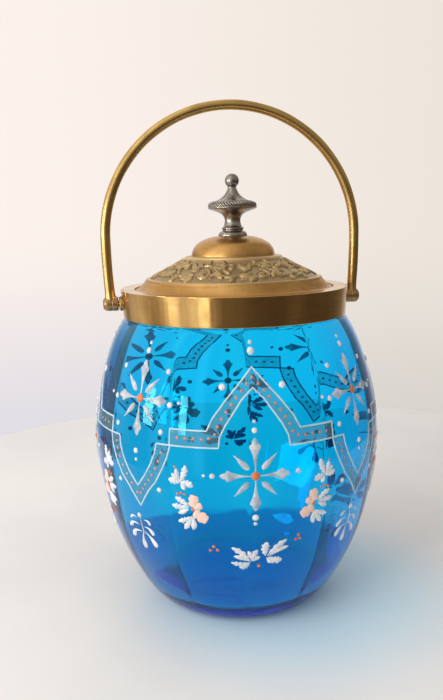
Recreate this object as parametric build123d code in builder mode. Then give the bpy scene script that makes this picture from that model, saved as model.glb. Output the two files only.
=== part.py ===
from math import sqrt
import os

from build123d import *

# Lidded glass barrel with a brass collar, a lifting lid and a swinging bail.
# Millimetres. +Z is up, the origin is at the centre of the foot, and the bail
# turns about an axis parallel to X that runs through both pivots.

# Glass body: outline as (radius, height) points from heel to shoulder
foot_radius = 36.5
body_outline = [
    (41.5, 2.6),
    (46.9, 8.6),
    (53.9, 20.6),
    (61.2, 38.4),
    (65.9, 58.9),
    (68.0, 79.5),
    (66.0, 100.0),
    (60.9, 119.2),
    (56.0, 131.0),
    (53.0, 135.9),
]
shoulder_direction = (-0.62, 0.78)
wall = 4.2
bowl_radius = 48.9
bowl_height = 21.0
floor_corner_radius = 41.3
floor_height = 8.0
floor_rounding = 10.0
shoulder_edge = (51.0, 137.3)
neck_radius = 49.8
neck_bore_radius = 45.5
neck_start = 139.4
bore_start = 140.4

# Collar: a tapered band with a flat turned ring soldered inside its top
collar_bottom = 137.0
collar_top = 150.0
collar_bottom_radius = 52.5
collar_top_radius = 53.6
band_thickness = 1.0
band_edge_round = 0.3
ring_thickness = 2.4
rebate_radius = 47.0
rebate_depth = 1.3
throat_radius = 44.3
throat_thickness = 0.9
throat_bottom = 141.8

# Plaster bedding between the glass neck and the band
bedding_bottom = 138.4
bedding_foot_radius = 50.5

# Bail: a round rod bent to a semicircle on slightly drawn-in legs
rod_radius = 2.3
arch_radius = 59.3
arch_centre = 173.5
pivot_height = 143.6
leg_foot_x = 58.2
leg_foot_height = 145.7

# Pivots: a boss on the band carries a pin that runs in the bail's knuckle
boss_radius = 3.4
boss_face = 54.4
boss_round = 0.4
pin_radius = 1.5
pin_tip = 60.0
pin_chamfer = 0.3
knuckle_radius = 3.35
knuckle_inner_face = 54.7
knuckle_outer_face = 61.8
knuckle_end_round = 1.3
knuckle_chamfer = 0.3
running_clearance = 0.05
bore_end_gap = 0.3

# Lid: one pressed brass sheet, from the rim up to the flat under the finial
lid_radius = 46.5
lid_sheet = 0.9
lid_rim_height = 0.9
cavetto_foot = (45.3, 149.9)
cavetto_middle = (43.7, 151.4)
cavetto_top = (41.7, 153.7)
outer_bead_crest = (41.2, 154.6)
outer_bead_end = (39.7, 154.9)
band_middle = (31.4, 158.9)
band_top = (23.6, 163.4)
inner_bead_crest = (22.6, 164.3)
inner_bead_end = (20.6, 164.2)
dome_foot = (19.7, 165.0)
dome_side = (18.4, 168.5)
dome_shoulder = (15.3, 171.2)
dome_crown = (11.5, 172.9)
dome_flat_radius = 7.4
dome_top = 173.6
stud_hole_radius = 2.2

# Locating ring: the skirt that centres the lid in the throat
skirt_radius = 43.9
skirt_thickness = 0.8
skirt_bottom = 143.2
skirt_overlap = 1.5

# Finial of cast white metal, drawn as (radius, height) points
finial_foot_radius = 6.8
finial_foot_middle = (6.6, 174.6)
finial_foot_top = (5.5, 175.9)
finial_groove = (4.7, 176.5)
finial_ring = (5.1, 177.4)
finial_neck = (3.6, 180.3)
finial_flare = (5.6, 183.6)
neck_directions = [(-1, 0.5), (1, 0.3)]
disc_bottom = (9.5, 185.4)
disc_rim = (11.6, 187.3)
disc_top = (9.5, 189.2)
cone_middle = (3.5, 192.4)
cone_directions = [(-1, 0.1), (-0.2, 1)]
stem_radius = 1.7
stem_foot = (stem_radius, 195.6)
ball_radius = 3.3
ball_height = 198.9

# Stud, washer and square nut that hold the finial to the lid
stud_radius = 2.0
stud_top = 183.0
stud_bottom = 166.4
stud_chamfer = 0.4
washer_radius = 5.5
washer_thickness = 0.8
nut_across_flats = 7.0
nut_height = 3.2
nut_chamfer = 0.4

# Heights worked out from the sizes above
ledge_height = collar_top - rebate_depth
ring_bottom = collar_top - ring_thickness
lid_rim_top = ledge_height + lid_rim_height
lid_underside = dome_top - lid_sheet
ball_top = ball_height + ball_radius
ball_start = ball_height - sqrt(ball_radius**2 - stem_radius**2)

os.makedirs("parts", exist_ok=True)


def band_radius(height):
    """Outer radius of the tapered band at a height."""
    share = (height - collar_bottom) / (collar_top - collar_bottom)
    return collar_bottom_radius + share * (collar_top_radius - collar_bottom_radius)


# Glass jar: blown body with a thick floor and a straight neck
with BuildPart() as glass_jar:
    with BuildSketch(Plane.XZ):
        with BuildLine():
            foot = Line((0, 0), (foot_radius, 0))
            heel = TangentArc(foot @ 1, body_outline[0], tangent=foot % 1)
            outside = Spline(*body_outline, tangents=[heel % 1, shoulder_direction])
            neck = Polyline(
                outside @ 1,
                shoulder_edge,
                (neck_radius, neck_start),
                (neck_radius, ring_bottom),
                (neck_bore_radius, ring_bottom),
                (neck_bore_radius, bore_start),
            )
            inner_points = [(r - wall, z) for r, z in reversed(body_outline[:-1]) if z > bowl_height]
            inside = Spline(
                neck @ 1,
                *inner_points,
                (bowl_radius, bowl_height),
                tangents=[
                    neck % 1,
                    (floor_corner_radius - bowl_radius, floor_height - bowl_height),
                ],
            )
            Polyline(inside @ 1, (floor_corner_radius, floor_height), (0, floor_height), (0, 0))
        make_face()
        floor_corner = vertices().sort_by_distance((floor_corner_radius, floor_height))[0]
        fillet(floor_corner, floor_rounding)
    revolve(axis=Axis.Z)
glass_jar.part.label = "glass_jar"
export_step(glass_jar.part, "parts/glass_jar.step")

# Collar band: tapered sheet with softened edges, drilled for the pivot pins
with BuildPart() as collar_band:
    with BuildSketch(Plane.XZ):
        with BuildLine():
            Polyline(
                (collar_bottom_radius - band_thickness, collar_bottom),
                (collar_bottom_radius, collar_bottom),
                (collar_top_radius, collar_top),
                (collar_top_radius - band_thickness, collar_top),
                close=True,
            )
        make_face()
        fillet(vertices().sort_by(Axis.X)[-2:], band_edge_round)
    revolve(axis=Axis.Z)
    with BuildSketch(Plane.YZ.offset(-collar_top_radius)):
        with Locations((0, pivot_height)):
            Circle(pin_radius)
    extrude(amount=2 * collar_top_radius, mode=Mode.SUBTRACT)
collar_band.part.label = "collar_band"
export_step(collar_band.part, "parts/collar_band.step")

# Collar top ring: flat turned ring with the lid's rebate and the throat
with BuildPart() as collar_top_ring:
    with BuildSketch(Plane.XZ):
        with BuildLine():
            Polyline(
                (band_radius(collar_top) - band_thickness, collar_top),
                (rebate_radius, collar_top),
                (rebate_radius, ledge_height),
                (throat_radius, ledge_height),
                (throat_radius, throat_bottom),
                (throat_radius + throat_thickness, throat_bottom),
                (throat_radius + throat_thickness, ring_bottom),
                (band_radius(ring_bottom) - band_thickness, ring_bottom),
                close=True,
            )
        make_face()
    revolve(axis=Axis.Z)
collar_top_ring.part.label = "collar_top_ring"
export_step(collar_top_ring.part, "parts/collar_top_ring.step")

# Plaster bedding: fills the space between the neck and the band
with BuildPart() as plaster_bedding:
    with BuildSketch(Plane.XZ):
        with BuildLine():
            Polyline(
                (bedding_foot_radius, bedding_bottom),
                (band_radius(bedding_bottom) - band_thickness, bedding_bottom),
                (band_radius(ring_bottom) - band_thickness, ring_bottom),
                (neck_radius, ring_bottom),
                (neck_radius, neck_start),
                close=True,
            )
        make_face()
    revolve(axis=Axis.Z)
plaster_bedding.part.label = "plaster_bedding"
export_step(plaster_bedding.part, "parts/plaster_bedding.step")

# Bail rod: half circle with legs that draw in towards the pivots
with BuildPart() as bail_rod:
    with BuildLine(Plane.XZ) as bail_path:
        CenterArc((0, arch_centre), arch_radius, 0, 180)
        TangentArc((arch_radius, arch_centre), (leg_foot_x, leg_foot_height), tangent=(0, -1))
        TangentArc((-arch_radius, arch_centre), (-leg_foot_x, leg_foot_height), tangent=(0, -1))
    bail_wire = bail_path.wire()
    with BuildSketch(Plane(origin=bail_wire @ 0, z_dir=bail_wire % 0)):
        Circle(rod_radius)
    sweep(path=bail_wire)
bail_rod.part.label = "bail_rod"
export_step(bail_rod.part, "parts/bail_rod.step")

# Pivot boss: short lug whose back follows the band
with BuildPart() as pivot_boss:
    with BuildSketch(Plane.YZ.offset(collar_bottom_radius)):
        with Locations((0, pivot_height)):
            Circle(boss_radius)
            Circle(pin_radius, mode=Mode.SUBTRACT)
    extrude(amount=boss_face - collar_bottom_radius)
    with BuildSketch(Plane.XZ):
        with BuildLine():
            Polyline(
                (0, collar_bottom),
                (collar_bottom_radius, collar_bottom),
                (collar_top_radius, collar_top),
                (0, collar_top),
                close=True,
            )
        make_face()
    revolve(axis=Axis.Z, mode=Mode.SUBTRACT)
    fillet(faces().sort_by(Axis.X)[-1].edges().sort_by(SortBy.RADIUS)[-1], boss_round)

# Pivot pin: fixed in the band and the boss
pin_root = band_radius(pivot_height + pin_radius) - band_thickness
with BuildPart() as pivot_pin:
    with BuildSketch(Plane.YZ.offset(pin_root)):
        with Locations((0, pivot_height)):
            Circle(pin_radius)
    extrude(amount=pin_tip - pin_root)
    chamfer(faces().sort_by(Axis.X)[-1].edges(), pin_chamfer)

# Bail knuckle: turned barrel, blind bored for the pin, brazed to the rod
with BuildPart() as bail_knuckle:
    with BuildSketch(Plane.YZ.offset(knuckle_inner_face)):
        with Locations((0, pivot_height)):
            Circle(knuckle_radius)
    extrude(amount=knuckle_outer_face - knuckle_inner_face)
    fillet(faces().sort_by(Axis.X)[-1].edges(), knuckle_end_round)
    chamfer(faces().sort_by(Axis.X)[0].edges(), knuckle_chamfer)
    with BuildSketch(Plane.YZ.offset(knuckle_inner_face)):
        with Locations((0, pivot_height)):
            Circle(pin_radius + running_clearance)
    extrude(amount=pin_tip + bore_end_gap - knuckle_inner_face, mode=Mode.SUBTRACT)
    add(bail_rod.part, mode=Mode.SUBTRACT)

# The three pivot pieces stand on both sides of the collar
pivot_pieces = {
    "pivot_boss": pivot_boss.part,
    "pivot_pin": pivot_pin.part,
    "bail_knuckle": bail_knuckle.part,
}
for side, turn in (("right", 0), ("left", 180)):
    for piece_name, piece in pivot_pieces.items():
        placed = piece.rotate(Axis.Z, turn)
        placed.label = f"{side}_{piece_name}"
        export_step(placed, f"parts/{side}_{piece_name}.step")

# Lid shell: the outer line of the pressing, thickened inwards
with BuildPart() as lid_shell:
    with BuildSketch(Plane.XZ):
        with BuildLine():
            rim = Polyline(
                (lid_radius, ledge_height),
                (lid_radius, lid_rim_top),
                cavetto_foot,
            )
            cavetto = ThreePointArc(rim @ 1, cavetto_middle, cavetto_top)
            outer_bead = ThreePointArc(cavetto @ 1, outer_bead_crest, outer_bead_end)
            embossed_band = ThreePointArc(outer_bead @ 1, band_middle, band_top)
            inner_bead = ThreePointArc(embossed_band @ 1, inner_bead_crest, inner_bead_end)
            Line(inner_bead @ 1, dome_foot)
            lower_dome = ThreePointArc(dome_foot, dome_side, dome_shoulder)
            dome = ThreePointArc(lower_dome @ 1, dome_crown, (dome_flat_radius, dome_top))
            Line(dome @ 1, (stud_hole_radius, dome_top))
            offset(amount=lid_sheet, side=Side.LEFT)
        make_face()
    revolve(axis=Axis.Z)
lid_shell.part.label = "lid_shell"
export_step(lid_shell.part, "parts/lid_shell.step")

# Lid locating ring: skirt soldered under the pressing
with BuildPart() as lid_locating_ring:
    with BuildSketch(Plane.XZ):
        with Locations((skirt_radius, skirt_bottom)):
            Rectangle(
                skirt_thickness,
                lid_rim_top + skirt_overlap - skirt_bottom,
                align=(Align.MAX, Align.MIN),
            )
    revolve(axis=Axis.Z)
    add(lid_shell.part, mode=Mode.SUBTRACT)
lid_locating_ring.part.label = "lid_locating_ring"
export_step(lid_locating_ring.part, "parts/lid_locating_ring.step")

# Finial: turned and cast form with a blind hole for the stud
with BuildPart() as finial_body:
    with BuildSketch(Plane.XZ):
        with BuildLine():
            base_line = Line((0, dome_top), (finial_foot_radius, dome_top))
            foot_curve = ThreePointArc(base_line @ 1, finial_foot_middle, finial_foot_top)
            ring = Polyline(foot_curve @ 1, finial_groove, finial_ring)
            lower_neck = Spline(
                ring @ 1,
                finial_neck,
                finial_flare,
                disc_bottom,
                tangents=neck_directions,
            )
            rim_curve = ThreePointArc(lower_neck @ 1, disc_rim, disc_top)
            cone = Spline(rim_curve @ 1, cone_middle, stem_foot, tangents=cone_directions)
            stem = Line(cone @ 1, (stem_radius, ball_start))
            ThreePointArc(stem @ 1, (ball_radius, ball_height), (0, ball_top))
            Line((0, ball_top), (0, dome_top))
        make_face()
    revolve(axis=Axis.Z)
    with BuildSketch(Plane.XY.offset(dome_top)):
        Circle(stud_radius)
    extrude(amount=stud_top - dome_top, mode=Mode.SUBTRACT)
finial_body.part.label = "finial_body"
export_step(finial_body.part, "parts/finial_body.step")

# Finial stud: rod that passes through the lid
with BuildPart() as finial_stud:
    with BuildSketch(Plane.XY.offset(stud_bottom)):
        Circle(stud_radius)
    extrude(amount=stud_top - stud_bottom)
    chamfer(faces().sort_by(Axis.Z)[0].edges(), stud_chamfer)
finial_stud.part.label = "finial_stud"
export_step(finial_stud.part, "parts/finial_stud.step")

# Finial washer: flat disc under the lid
with BuildPart() as finial_washer:
    with BuildSketch(Plane.XY.offset(lid_underside - washer_thickness)):
        Circle(washer_radius)
        Circle(stud_radius, mode=Mode.SUBTRACT)
    extrude(amount=washer_thickness)
finial_washer.part.label = "finial_washer"
export_step(finial_washer.part, "parts/finial_washer.step")

# Finial nut: square nut on the stud
with BuildPart() as finial_nut:
    with BuildSketch(Plane.XY.offset(lid_underside - washer_thickness - nut_height)):
        Rectangle(nut_across_flats, nut_across_flats)
        Circle(stud_radius, mode=Mode.SUBTRACT)
    extrude(amount=nut_height)
    chamfer(edges().filter_by(Axis.Z).sort_by(SortBy.DISTANCE)[-4:], nut_chamfer)
finial_nut.part.label = "finial_nut"
export_step(finial_nut.part, "parts/finial_nut.step")
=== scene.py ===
import math

import bmesh
import bpy
import numpy as np
from mathutils import Matrix, Vector


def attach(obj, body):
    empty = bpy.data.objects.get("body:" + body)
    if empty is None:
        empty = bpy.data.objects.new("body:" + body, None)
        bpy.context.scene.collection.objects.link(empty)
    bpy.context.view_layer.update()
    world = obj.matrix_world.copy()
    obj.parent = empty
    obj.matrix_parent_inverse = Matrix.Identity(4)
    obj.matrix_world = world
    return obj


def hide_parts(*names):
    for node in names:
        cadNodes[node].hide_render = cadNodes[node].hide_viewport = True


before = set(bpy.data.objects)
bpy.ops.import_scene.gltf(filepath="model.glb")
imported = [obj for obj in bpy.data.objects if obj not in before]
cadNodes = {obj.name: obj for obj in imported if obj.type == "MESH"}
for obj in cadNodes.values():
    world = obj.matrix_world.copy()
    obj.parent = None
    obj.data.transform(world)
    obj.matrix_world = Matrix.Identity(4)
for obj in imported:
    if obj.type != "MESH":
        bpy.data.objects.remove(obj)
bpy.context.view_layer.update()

# Blue glass biscuit jar: enamelled barrel, brass collar, swing bail and lift-off lid.
# Shapes are written in millimetres and go into the meshes in metres. The jar's axis
# is Z and its foot stands at 0. Angles on the jar run from the front (-Y) towards +X.

scene = bpy.context.scene
mm = 0.001
samePoint = 1e-4  # millimetres; points closer than this count as one


# Shapes: every surface is a grid of points, rows along a profile or a path

def distances(path):
    # length of a line up to each of its points
    return np.concatenate([[0], np.cumsum(np.linalg.norm(np.diff(path, axis=0), axis=1))])


def unit(vectors):
    # each vector divided by its own length
    return vectors / np.linalg.norm(vectors, axis=1, keepdims=True)


def fullTurn(columns):
    # even angles once round, as one row
    return np.linspace(0, 2 * math.pi, columns, endpoint=False)[None, :]


def smoothStep(value, low, high):
    # 0 below low, 1 above high, 3t^2 - 2t^3 between
    t = np.clip((value - low) / (high - low), 0, 1)
    return t * t * (3 - 2 * t)


def window(value, opens, closes):
    # rises from 0 to 1 over the first pair and falls back over the second
    return smoothStep(value, *opens) * (1 - smoothStep(value, *closes))


def splineThrough(points, count):
    # natural cubic curve through the points, cut evenly by chord length
    points = np.asarray(points, float)
    knots = distances(points)
    gaps = np.diff(knots)
    slopes = np.diff(points, axis=0) / gaps[:, None]
    size = len(points)
    system = np.eye(size)
    inner = np.arange(1, size - 1)
    system[inner, inner - 1] = gaps[:-1]
    system[inner, inner] = 2 * (gaps[:-1] + gaps[1:])
    system[inner, inner + 1] = gaps[1:]
    sides = np.zeros_like(points)
    sides[1:-1] = 6 * np.diff(slopes, axis=0)
    bends = np.linalg.solve(system, sides)
    along = np.linspace(0, knots[-1], count)
    spot = np.clip(np.searchsorted(knots, along, "right") - 1, 0, size - 2)
    gap = gaps[spot][:, None]
    a = (knots[spot + 1] - along)[:, None] / gap
    b = 1 - a
    bow = (a**3 - a) * bends[spot] + (b**3 - b) * bends[spot + 1]
    return a * points[spot] + b * points[spot + 1] + bow * gap**2 / 6


def roundedLine(corners, steps=7, closed=True):
    # straight runs between (radius, height, rounding) corners; each corner is cut back by its
    # rounding, at most half a run, and bridged with (1-t)^2 start + 2t(1-t) corner + t^2 end
    corners = np.asarray(corners, float)
    spot, cut = corners[:, :2], corners[:, 2:]
    before, after = np.roll(spot, 1, axis=0) - spot, np.roll(spot, -1, axis=0) - spot
    lengthBefore = np.linalg.norm(before, axis=1, keepdims=True)
    lengthAfter = np.linalg.norm(after, axis=1, keepdims=True)
    start = spot + before * np.minimum(cut / lengthBefore, 0.5)
    end = spot + after * np.minimum(cut / lengthAfter, 0.5)
    if not closed:
        start[[0, -1]] = end[[0, -1]] = spot[[0, -1]]
    t = np.linspace(0, 1, steps)[None, :, None]
    line = (1 - t) ** 2 * start[:, None] + 2 * t * (1 - t) * spot[:, None] + t**2 * end[:, None]
    line = line.reshape(-1, 2)
    previous = line[-1:] if closed else line[:1] + 1
    return line[np.linalg.norm(np.diff(line, axis=0, prepend=previous), axis=1) > samePoint]


def denser(line, gap, closed=True):
    # adds points on long runs of a profile, so that none is longer than the gap
    ends = np.roll(line, -1, axis=0) if closed else line[1:]
    starts = line if closed else line[:-1]
    cuts = np.maximum(1, np.ceil(np.linalg.norm(ends - starts, axis=1) / gap)).astype(int)
    index = np.repeat(np.arange(len(starts)), cuts)
    share = np.concatenate([np.arange(n) / n for n in cuts])[:, None]
    dense = starts[index] * (1 - share) + ends[index] * share
    return dense if closed else np.vstack([dense, line[-1:]])


def turned(line, columns, shift=0.0):
    # surface of revolution: (radius + shift) cos u, (radius + shift) sin u, height
    u = fullTurn(columns)
    radius = np.where(line[:, :1] > samePoint, line[:, :1] + shift, 0) + 0 * u
    return np.stack([radius * np.cos(u), radius * np.sin(u), line[:, 1:] + 0 * u], axis=-1)


def ontoX(points, height):
    # lays a turned grid over, so that its axis runs along +X at the given height
    return np.stack([points[..., 2], points[..., 1], height - points[..., 0]], axis=-1)


def closedEnds(points):
    # draws a row together at each end of a tube, at the middle of its last ring
    first, last = (0 * ring + ring.mean(1, keepdims=True) for ring in (points[:1], points[-1:]))
    return np.concatenate([first, points, last])


def buildPiece(name, grids, material, body, replaced=(), sharp=38):
    # one mesh from grids of (points, rows closed); columns always close, and edges sharper than
    # the given angle stay crisp
    blocks, faces, count = [], [], 0
    for points, rowsClosed in grids:
        rows, columns = points.shape[:2]
        r, c = np.meshgrid(np.arange(rows if rowsClosed else rows - 1), np.arange(columns), indexing="ij")
        nextR, nextC = (r + 1) % rows, (c + 1) % columns
        corners = ((r, c), (r, nextC), (nextR, nextC), (nextR, c))
        quads = np.stack([row * columns + column for row, column in corners], axis=-1)
        blocks.append(points.reshape(-1, 3))
        faces.append(quads.reshape(-1, 4) + count)
        count += rows * columns
    mesh = bpy.data.meshes.new(name)
    mesh.from_pydata((np.vstack(blocks) * mm).tolist(), [], np.vstack(faces).tolist())
    work = bmesh.new()
    work.from_mesh(mesh)
    bmesh.ops.remove_doubles(work, verts=work.verts, dist=samePoint * mm)  # closes seams and poles
    work.to_mesh(mesh)
    work.free()
    mesh.shade_smooth()
    mesh.set_sharp_from_angle(angle=math.radians(sharp))
    mesh.materials.append(material)
    piece = bpy.data.objects.new(name, mesh)
    scene.collection.objects.link(piece)
    if body:
        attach(piece, body)
    if replaced:
        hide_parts(*replaced)
    return piece


# Shader helpers

def put(tree, kind, inputs=None, **settings):
    # adds a node; an input takes a plain value or another node's output
    node = tree.nodes.new(kind)
    for key, value in settings.items():
        setattr(node, key, value)
    for key, value in (inputs or {}).items():
        if isinstance(value, bpy.types.NodeSocket):
            tree.links.new(value, node.inputs[key])
        elif isinstance(value, tuple) and len(value) == 3 and node.inputs[key].type == "RGBA":
            node.inputs[key].default_value = (*value, 1)
        else:
            node.inputs[key].default_value = value
    return node


def blendColours(tree, factor, a, b, mode="MIX"):
    # 0, 6 and 7 are the Mix node's factor and its two colours
    node = put(tree, "ShaderNodeMix", {0: factor, 6: a, 7: b}, data_type="RGBA", blend_type=mode)
    return node.outputs[2]


def calculate(tree, operation, a, b=0.0, clamp=False):
    return put(tree, "ShaderNodeMath", {0: a, 1: b}, operation=operation, use_clamp=clamp).outputs[0]


def multiply(tree, a, b):
    return calculate(tree, "MULTIPLY", a, b)


def add(tree, a, b, clamp=False):
    return calculate(tree, "ADD", a, b, clamp)


def vectorMeasure(tree, operation, a, b=(0.0, 0.0, 0.0)):
    # length, distance or dot product
    return put(tree, "ShaderNodeVectorMath", {0: a, 1: b}, operation=operation).outputs["Value"]


def spread(tree, value, low, high, newLow=0.0, newHigh=1.0, kind="SMOOTHSTEP"):
    # carries one range of values over to another
    inputs = {"Value": value, "From Min": low, "From Max": high, "To Min": newLow, "To Max": newHigh}
    return put(tree, "ShaderNodeMapRange", inputs, interpolation_type=kind).outputs[0]


def noise(tree, place, scale, detail=3.0, roughness=0.5):
    inputs = {"Vector": place, "Scale": scale, "Detail": detail, "Roughness": roughness}
    return put(tree, "ShaderNodeTexNoise", inputs).outputs["Fac"]


def newGroup(name, takes, gives):
    # node group with its sockets, each given as name and kind
    group = bpy.data.node_groups.new(name, "ShaderNodeTree")
    for direction, sockets in (("INPUT", takes), ("OUTPUT", gives)):
        for socketName, kind in sockets.items():
            group.interface.new_socket(socketName, in_out=direction, socket_type="NodeSocket" + kind)
    return group, put(group, "NodeGroupInput").outputs, put(group, "NodeGroupOutput").inputs


def useGroup(tree, group, **values):
    # places a group, with each value on the socket of its name
    inputs = {key.capitalize(): value for key, value in values.items()}
    return put(tree, "ShaderNodeGroup", inputs, node_tree=group).outputs


def newMaterial(name):
    material = bpy.data.materials.new(name)
    material.use_nodes = True
    tree = material.node_tree
    tree.nodes.clear()
    place = put(tree, "ShaderNodeTexCoord").outputs["Object"]
    return material, tree, place


def finishMaterial(tree, inputs, height, strength, distance, volume=None):
    # bumped Principled shader straight into the output
    bump = {"Height": height, "Strength": strength, "Distance": distance}
    inputs["Normal"] = put(tree, "ShaderNodeBump", bump).outputs[0]
    shader = put(tree, "ShaderNodeBsdfPrincipled", inputs)
    output = put(tree, "ShaderNodeOutputMaterial", {"Surface": shader.outputs[0]})
    if volume is not None:
        tree.links.new(volume, output.inputs["Volume"])


# Shared effects

def makeAgeing():
    # patches of dull colour from soft noise, small dark specks from fine noise
    look = {"patchRange": (0.36, 0.66), "speckFineness": 14.0, "speckRange": (0.62, 0.75)}
    group, given, result = newGroup(
        "metalAgeing",
        {"Place": "Vector", "Bright": "Color", "Dull": "Color", "Dark": "Color",
         "Scale": "Float", "Patches": "Float", "Specks": "Float"},
        {"Color": "Color", "Worn": "Float"})
    patchNoise = noise(group, given["Place"], given["Scale"], 4.0, 0.6)
    patches = multiply(group, spread(group, patchNoise, *look["patchRange"]), given["Patches"])
    speckScale = multiply(group, given["Scale"], look["speckFineness"])
    speckNoise = noise(group, given["Place"], speckScale, 2.0)
    specks = multiply(group, spread(group, speckNoise, *look["speckRange"]), given["Specks"])
    dulled = blendColours(group, patches, given["Bright"], given["Dull"])
    group.links.new(blendColours(group, specks, dulled, given["Dark"]), result["Color"])
    group.links.new(add(group, patches, specks), result["Worn"])
    return group


def makeLatheLines():
    # noise over radius and height only, stretched round the axis, as from a turning tool
    group, given, result = newGroup(
        "latheLines", {"Place": "Vector", "Fineness": "Float", "Waver": "Float"}, {"Height": "Float"})
    x, y, z = put(group, "ShaderNodeSeparateXYZ", {"Vector": given["Place"]}).outputs
    radius = calculate(group, "SQRT", add(group, multiply(group, x, x), multiply(group, y, y)))
    spot = put(group, "ShaderNodeCombineXYZ", {
        0: multiply(group, radius, given["Fineness"]),
        1: multiply(group, z, given["Fineness"]),
        2: multiply(group, x, given["Waver"]),
    }).outputs[0]
    group.links.new(noise(group, spot, 1.0, 2.0), result["Height"])
    return group


def makeEdgeWear():
    # high edges from the mesh's own pointiness, broken up by noise, and its hollows
    look = {"brokenRange": (0.3, 0.6), "hollowRange": (0.5, 0.44)}
    group, given, result = newGroup(
        "edgeWear", {"Place": "Vector", "Low": "Float", "High": "Float", "Scale": "Float"},
        {"Edges": "Float", "Hollows": "Float"})
    pointed = put(group, "ShaderNodeNewGeometry").outputs["Pointiness"]
    broken = spread(group, noise(group, given["Place"], given["Scale"]), *look["brokenRange"])
    raised = spread(group, pointed, given["Low"], given["High"], kind="LINEAR")
    group.links.new(multiply(group, raised, broken), result["Edges"])
    group.links.new(spread(group, pointed, *look["hollowRange"], kind="LINEAR"), result["Hollows"])
    return group


def makeHandlingMarks():
    # large soft smears that change the gloss
    group, given, result = newGroup(
        "handlingMarks", {"Place": "Vector", "Scale": "Float", "Low": "Float", "High": "Float"},
        {"Roughness": "Float"})
    smear = spread(group, noise(group, given["Place"], given["Scale"], 5.0, 0.65), 0.3, 0.7)
    gloss = spread(group, smear, 0.0, 1.0, given["Low"], given["High"], "LINEAR")
    group.links.new(gloss, result["Roughness"])
    return group


ageing = makeAgeing()
latheLines = makeLatheLines()
edgeWear = makeEdgeWear()
handlingMarks = makeHandlingMarks()
print("shared effects ready")


# Finishes

def agedMetal(tree, place, look):
    # ageing in a finish's own colours and amounts
    values = {key: look[key] for key in ("bright", "dull", "dark", "scale", "patches", "specks")}
    return useGroup(tree, ageing, place=place, **values)


def handled(tree, place, scale, gloss):
    # roughness between the two gloss values, in soft smears
    return useGroup(tree, handlingMarks, place=place, scale=scale, low=gloss[0], high=gloss[1])["Roughness"]


def wornEdges(tree, place, high, scale=400.0):
    # how far the edges are rubbed bright and the hollows are dirty
    return useGroup(tree, edgeWear, place=place, low=0.51, high=high, scale=scale)


brassWear = {
    "edgeShine": 0.6, "smearScale": 0.7, "dullRoughness": 0.12, "lineWaver": 20.0, "lineHeight": 0.00004,
    "scratchFineness": 0.5, "scratchWaver": 34.0, "scratchWidth": 0.02,
    "scratchPatches": 45.0, "scratchRange": (0.42, 0.6),
}


def brassFinish(name, look):
    # aged brass: patches, turning lines, scratches, brighter worn edges and dark hollows
    wear = brassWear
    material, tree, place = newMaterial(name)
    metal = agedMetal(tree, place, look)
    worn = wornEdges(tree, place, look["edge"])
    colour = blendColours(tree, multiply(tree, worn["Hollows"], look["grime"]), metal["Color"], look["dark"])
    colour = blendColours(tree, multiply(tree, worn["Edges"], wear["edgeShine"]), colour, look["bright"])
    gloss = handled(tree, place, look["scale"] * wear["smearScale"], look["gloss"])
    lines = useGroup(tree, latheLines, place=place, fineness=look["lines"], waver=wear["lineWaver"])
    fineness = look["lines"] * wear["scratchFineness"]
    scored = useGroup(tree, latheLines, place=place, fineness=fineness, waver=wear["scratchWaver"])["Height"]
    offMiddle = calculate(tree, "ABSOLUTE", calculate(tree, "SUBTRACT", scored, 0.5))
    scratched = spread(tree, offMiddle, 0.0, wear["scratchWidth"], look["scratches"], 0.0)
    inPatches = spread(tree, noise(tree, place, wear["scratchPatches"], 2.0), *wear["scratchRange"])
    colour = blendColours(tree, multiply(tree, scratched, inPatches), colour, look["dark"])
    roughness = add(tree, gloss, multiply(tree, metal["Worn"], wear["dullRoughness"]))
    inputs = {"Base Color": colour, "Metallic": 1.0, "Roughness": roughness}
    finishMaterial(tree, inputs, lines["Height"], look["lineDepth"], wear["lineHeight"])
    return material


collarBrass = brassFinish("collarBrass", {
    "bright": (0.71, 0.46, 0.17), "dull": (0.55, 0.33, 0.12), "dark": (0.12, 0.06, 0.025),
    "scale": 70.0, "patches": 0.7, "specks": 0.25, "grime": 0.5, "edge": 0.56, "gloss": (0.07, 0.15),
    "lines": 1800.0, "lineDepth": 0.2, "scratches": 0.35})
bailBrass = brassFinish("bailBrass", {
    "bright": (0.66, 0.44, 0.16), "dull": (0.42, 0.27, 0.1), "dark": (0.1, 0.055, 0.022),
    "scale": 90.0, "patches": 0.6, "specks": 0.0, "grime": 0.0, "edge": 0.9, "gloss": (0.24, 0.32),
    "lines": 900.0, "lineDepth": 0.03, "scratches": 0.0})
knuckleBrass = brassFinish("knuckleBrass", {
    "bright": (0.52, 0.34, 0.16), "dull": (0.36, 0.22, 0.11), "dark": (0.1, 0.055, 0.03),
    "scale": 160.0, "patches": 0.9, "specks": 0.3, "grime": 0.7, "edge": 0.56, "gloss": (0.26, 0.4),
    "lines": 1500.0, "lineDepth": 0.1, "scratches": 0.0})
pinBrass = brassFinish("pinBrass", {
    "bright": (0.5, 0.32, 0.13), "dull": (0.3, 0.18, 0.07), "dark": (0.08, 0.045, 0.02),
    "scale": 200.0, "patches": 0.8, "specks": 0.4, "grime": 0.7, "edge": 0.56, "gloss": (0.3, 0.45),
    "lines": 2500.0, "lineDepth": 0.3, "scratches": 0.2})


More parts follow.
